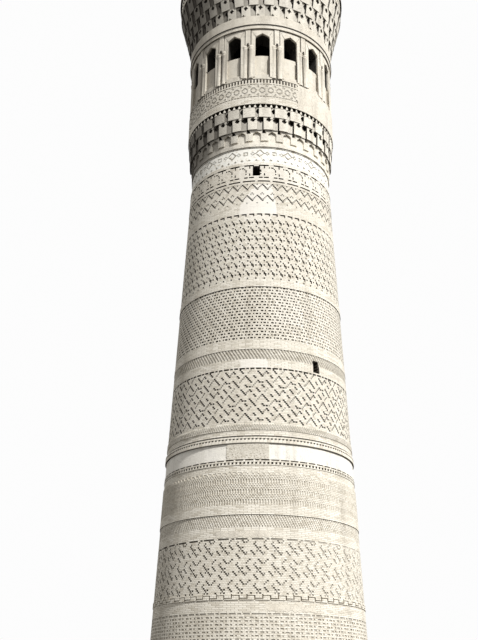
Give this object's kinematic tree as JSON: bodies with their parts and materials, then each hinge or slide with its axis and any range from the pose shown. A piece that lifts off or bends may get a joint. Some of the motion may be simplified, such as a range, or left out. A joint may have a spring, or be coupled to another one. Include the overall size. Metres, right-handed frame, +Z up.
{
  "type": "scale model of a round brick minaret, 1:2",
  "caption": "Tapering round brick minaret with patterned bands, corbelled muqarnas and an arcaded lantern, at half size.",
  "frame": {"origin": "centre of the plinth's underside, on the ground", "axes": "+Z up along the tower's axis, -Y towards the side that the picture shows"},
  "size_m": [5.3624, 5.1, 24],
  "materials": {
    "fired_brick": "matt, sun-bleached buff brick in lime mortar",
    "glazed_brick": "worn pale glaze",
    "lime_plaster": "matt lime and gypsum render"
  },
  "bodies": {
    "root": {"lower_zigzag_band": "fired_brick", "lower_basket_band": "fired_brick", "brick_pair_band": "fired_brick", "stroke_lattice_band": "fired_brick", "herringbone_band": "fired_brick", "frieze_band": "fired_brick", "diamond_band": "fired_brick", "basket_band": "fired_brick", "cross_band": "fired_brick", "glazed_frieze": "glazed_brick", "lower_muqarnas_1": "fired_brick", "lower_muqarnas_2": "fired_brick", "lower_muqarnas_3": "fired_brick", "tooth_course": "fired_brick", "lantern_drum": "fired_brick", "arcade_head": "lime_plaster", "upper_muqarnas_1": "fired_brick", "upper_muqarnas_2": "fired_brick", "upper_muqarnas_3": "fired_brick", "cornice": "fired_brick", "door_band": "fired_brick", "zigzag_band": "fired_brick", "star_band": "fired_brick", "plinth": "fired_brick", "shaft_foot": "fired_brick", "roof_stub": "fired_brick", "lantern_floor": "lime_plaster", "lantern_parapet": "lime_plaster", "roof": "lime_plaster", "lantern_pier_01": "lime_plaster", "lantern_pier_02": "lime_plaster", "lantern_pier_03": "lime_plaster", "lantern_pier_04": "lime_plaster", "lantern_pier_05": "lime_plaster", "lantern_pier_06": "lime_plaster", "lantern_pier_07": "lime_plaster", "lantern_pier_08": "lime_plaster", "lantern_pier_09": "lime_plaster", "lantern_pier_10": "lime_plaster", "lantern_pier_11": "lime_plaster", "lantern_pier_12": "lime_plaster", "lantern_pier_13": "lime_plaster", "lantern_pier_14": "lime_plaster", "lantern_pier_15": "lime_plaster", "lantern_pier_16": "lime_plaster"}
  },
  "joints": []
}
